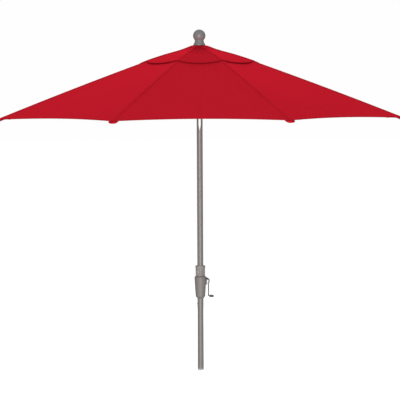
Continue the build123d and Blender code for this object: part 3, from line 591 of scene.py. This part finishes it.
# A sleeve sewn under each corner, closed outwards, that the rib's end sits in
def makePocket(number):
    def spot(around, row):
        turn = 2 * pi * around
        radius = pocket["mouth"] + (pocket["tip"] - pocket["mouth"]) * row
        closing = max(row - 1 + pocket["round"], 0) / pocket["round"]
        size = sqrt(max(1 - closing * closing, 0.0))
        away = cos(turn) * pocket["width"] / 2 * size * (1 + pocket["flare"] * (1 - row))
        depth = pocket["back"] if turn < pi else pocket["belly"]
        rise = sin(turn) * depth * (pocket["blunt"] + (1 - pocket["blunt"]) * size) - pocket["drop"]
        bend = tan(halfGore) * abs(away)
        out = Vector((cos(ribTurn(number)), sin(ribTurn(number)), 0.0))
        across = Vector((-out.y, out.x, 0.0))
        height = clothHeight(radius) + rise - pocket["droop"] * bend
        return out * (radius - pocket["wrap"] * size * bend) + across * away + Vector((0, 0, height))

    def flatCloth(around, row):
        return (around * pocket["girth"] * pocket["width"], row * (pocket["tip"] - pocket["mouth"]))

    maps = {"flatCloth": flatCloth, "fromEdge": flatCloth}
    piece = gridMesh(f"ribPocket{number}", pocket["around"], pocket["along"], spot, maps, closed=True)
    thicken(piece, pocket["thickness"])
    return finishPiece(piece, pocketFinish, f"rib_{number}")


crown = {
    "inner": 0.014,
    "radius": 0.084,
    "thickness": 0.0008,
    "lift": 0.0011,  # how far it lies over the flap, from liftTo outwards
    "liftFrom": 0.046,
    "liftTo": 0.058,
    "turnFrom": (0.042, 2.099),  # radius and height where the bend starts and ends
    "turnTo": (0.066, 2.092),
    "across": 16,
    "along": 24,
}


# The reinforced middle is clamped at the hub and bends where it meets the ribs
def makeCrown(number):
    def place(across, row):
        radius = crown["inner"] + (crown["radius"] - crown["inner"]) * row
        return radius, abs(2 * across - 1), 1 if across > 0.5 else -1

    def spot(across, row):
        radius, away, side = place(across, row)
        rise = min(max((radius - crown["liftFrom"]) / (crown["liftTo"] - crown["liftFrom"]), 0), 1)
        height = ventHeight(radius) + crown["lift"] * rise * rise * (3 - 2 * rise)
        return goreSpot(number, side, radius, 1 - away, height)

    def flatCloth(across, row):
        radius, away, side = place(across, row)
        return (side * away * radius * sin(halfGore), radius)

    def fromEdge(across, row):
        radius, away, side = place(across, row)
        return (side * away * crown["radius"] * sin(halfGore), crown["radius"] - radius)

    maps = {"flatCloth": flatCloth, "fromEdge": fromEdge}
    piece = gridMesh(f"crownCloth{number}", crown["across"], crown["along"], spot, maps)
    thicken(piece, crown["thickness"])
    piece.data.materials.append(ventFinish)
    out = Vector((cos(ribTurn(number)), sin(ribTurn(number)), 0.0))
    start, end = (out * reach + Vector((0, 0, height)) for reach, height in (crown["turnFrom"], crown["turnTo"]))
    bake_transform(piece)
    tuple(start)
    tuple(end)
    return piece


def slopeLength(look, height):
    steps = 60
    run = look["radius"] - look["inner"]
    total = 0.0
    for step in range(steps):
        near = look["inner"] + run * step / steps
        far = look["inner"] + run * (step + 1) / steps
        total += sqrt((far - near) ** 2 + (height(far) - height(near)) ** 2)
    return total


# A half gore's cut size: half its side of the octagon by its length down the slope
mainCut = (canopy["radius"] * sin(halfGore), slopeLength(canopy, clothHeight))
flapCut = ((vent["radius"] + 0.01) * sin(halfGore), slopeLength(vent, ventHeight) + 0.05)  # the hem's bow is added

for number in ribs:
    mainSeam = makeSeam("seamBinding", canopy, clothHeight, seam["width"], number)
    ventSeam = makeSeam("ventBinding", vent, ventHeight, seam["ventWidth"], number)
    sleeve = makePocket(number)
    middle = makeCrown(number)
    for side in (1, -1):
        wing, area = makePanel("canopyPanel", canopy, clothHeight, number, side)
        flap, flapArea = makePanel("ventPanel", vent, ventHeight, number, side)
        withWing, withFlap = ([mainSeam, sleeve], [ventSeam, middle]) if side > 0 else ([], [])
        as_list(withWing)
        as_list(withFlap)
        if side > 0:
            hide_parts(f"canopy_sector_{number}")
print("canopy:", len(ribs), "gores")


# The struts turn on a ring of wire in the runner's groove
ringWire = {"radius": 0.032, "wire": 0.00125, "height": 1.694}


def makeRingWire(look):
    def spot(around, row):
        turn, bend = 2 * pi * around, 2 * pi * row
        reach = look["radius"] + look["wire"] * cos(bend)
        return Vector((reach * cos(turn), reach * sin(turn), look["height"] + look["wire"] * sin(bend)))

    piece = gridMesh("runnerWire", 96, 12, spot, {"flatCloth": lambda around, row: (around, row)}, closed=True)
    return finishPiece(piece, finishes["bright_steel"], "runner")


makeRingWire(ringWire)
print("runner wire placed")


floor = {"radius": 60.0, "colour": (0.15, 0.15, 0.15), "glow": 0.90, "fadeFrom": 1.5, "fadeTo": 9.0}
sky = {"seen": (0.99, 0.99, 0.99), "light": (1.0, 1.0, 1.0), "strength": 0.42, "sideShare": 0.50}


def makeFloor(look):
    mesh = bpy.data.meshes.new("floor")
    work = bmesh.new()
    bmesh.ops.create_circle(work, cap_ends=True, segments=96, radius=look["radius"])
    work.to_mesh(mesh)
    work.free()
    piece = bpy.data.objects.new("floor", mesh)
    bpy.context.scene.collection.objects.link(piece)
    made, tree, shader = startMaterial("floorPaper", 0.9, specular=0.1)
    place = addNode(tree, "ShaderNodeTexCoord")
    reach = addNode(tree, "ShaderNodeVectorMath", {"operation": "LENGTH"})
    ends = {"From Min": look["fadeFrom"], "From Max": look["fadeTo"]}
    fade = addNode(tree, "ShaderNodeMapRange", {"interpolation_type": "SMOOTHSTEP"}, ends)
    tone = addNode(tree, "ShaderNodeMix", {"data_type": "RGBA"})
    tone.inputs["A"].default_value = (*look["colour"], 1.0)
    tone.inputs["B"].default_value = (0.0, 0.0, 0.0, 1.0)
    tree.links.new(place.outputs["Object"], reach.inputs[0])
    tree.links.new(reach.outputs["Value"], fade.inputs["Value"])
    tree.links.new(fade.outputs["Result"], tone.inputs["Factor"])
    tree.links.new(tone.outputs["Result"], shader.inputs["Base Color"])
    shader.inputs["Emission Color"].default_value = (*sky["seen"], 1.0)
    glow = mathNode(tree, "MULTIPLY_ADD", fade.outputs["Result"], 1.0 - look["glow"], look["glow"])
    tree.links.new(glow, shader.inputs["Emission Strength"])
    mesh.materials.append(made)
    piece.visible_diffuse = piece.visible_glossy = False  # seen, but it throws no light up


makeFloor(floor)

# The eye sees a plain pale backdrop; the object is lit by a dimmer one, weaker at the sides
world = bpy.data.worlds.new("studio")
bpy.context.scene.world = world
world.use_nodes = True
skyTree = world.node_tree
skyTree.nodes.clear()
seen = addNode(skyTree, "ShaderNodeBackground", None, {"Color": (*sky["seen"], 1.0), "Strength": 1.0})
light = addNode(skyTree, "ShaderNodeBackground", None, {"Color": (*sky["light"], 1.0)})
direction = addNode(skyTree, "ShaderNodeTexCoord")
sideways = addNode(skyTree, "ShaderNodeSeparateXYZ")
ends = {"To Min": sky["strength"], "To Max": sky["strength"] * sky["sideShare"]}
dimming = addNode(skyTree, "ShaderNodeMapRange", None, ends)
skyTree.links.new(direction.outputs["Generated"], sideways.inputs[0])
skyTree.links.new(mathNode(skyTree, "ABSOLUTE", sideways.outputs["X"]), dimming.inputs["Value"])
skyTree.links.new(dimming.outputs["Result"], light.inputs["Strength"])
ray = addNode(skyTree, "ShaderNodeLightPath")
choose = addNode(skyTree, "ShaderNodeMixShader")
output = addNode(skyTree, "ShaderNodeOutputWorld")
skyTree.links.new(ray.outputs["Is Camera Ray"], choose.inputs[0])
skyTree.links.new(light.outputs[0], choose.inputs[1])
skyTree.links.new(seen.outputs[0], choose.inputs[2])
skyTree.links.new(choose.outputs[0], output.inputs["Surface"])

softboxes = {
    "overhead": {
        "place": (0.0, 4.6, 6.3),
        "aim": (0.0, 0.0, 1.6),
        "size": (5.0, 3.0),
        "power": 330.0,
        "glints": False,
    },
    "front": {
        "place": (-0.3, -9.0, 1.0),
        "aim": (0.0, 0.0, 1.1),
        "size": (1.6, 2.6),
        "power": 560.0,
        "glints": True,
    },
    "rear": {
        "place": (0.0, 8.0, 5.2),
        "aim": (0.0, 0.0, 1.5),
        "size": (5.0, 2.6),
        "power": 1400.0,
        "glints": False,
    },
}
for name, look in softboxes.items():
    lamp = bpy.data.lights.new(name, "AREA")
    lamp.shape = "RECTANGLE"
    lamp.size, lamp.size_y = look["size"]
    lamp.energy = look["power"]
    box = bpy.data.objects.new(name, lamp)
    box.visible_glossy = look["glints"]  # the two behind would burn out the tops of round parts
    box.location = look["place"]
    box.rotation_euler = (Vector(look["aim"]) - Vector(look["place"])).to_track_quat("-Z", "Y").to_euler()
    bpy.context.scene.collection.objects.link(box)

eye = {"place": (-0.137, -14.0, 1.845), "aim": (0.0, 0.0, 1.102), "lens": 195.1, "film": 36.0, "roll": 0.27}
cameraData = bpy.data.cameras.new("camera")
cameraData.lens = eye["lens"]
cameraData.sensor_width = eye["film"]
cameraData.clip_end = 200.0
camera = bpy.data.objects.new("camera", cameraData)
facing = (Vector(eye["aim"]) - Vector(eye["place"])).to_track_quat("-Z", "Y").to_matrix().to_4x4()
camera.matrix_world = Matrix.Translation(eye["place"]) @ facing @ Matrix.Rotation(radians(-eye["roll"]), 4, "Z")
bpy.context.scene.collection.objects.link(camera)
bpy.context.scene.camera = camera
bpy.context.scene.view_settings.view_transform = "Standard"
print("floor, lights and camera placed")
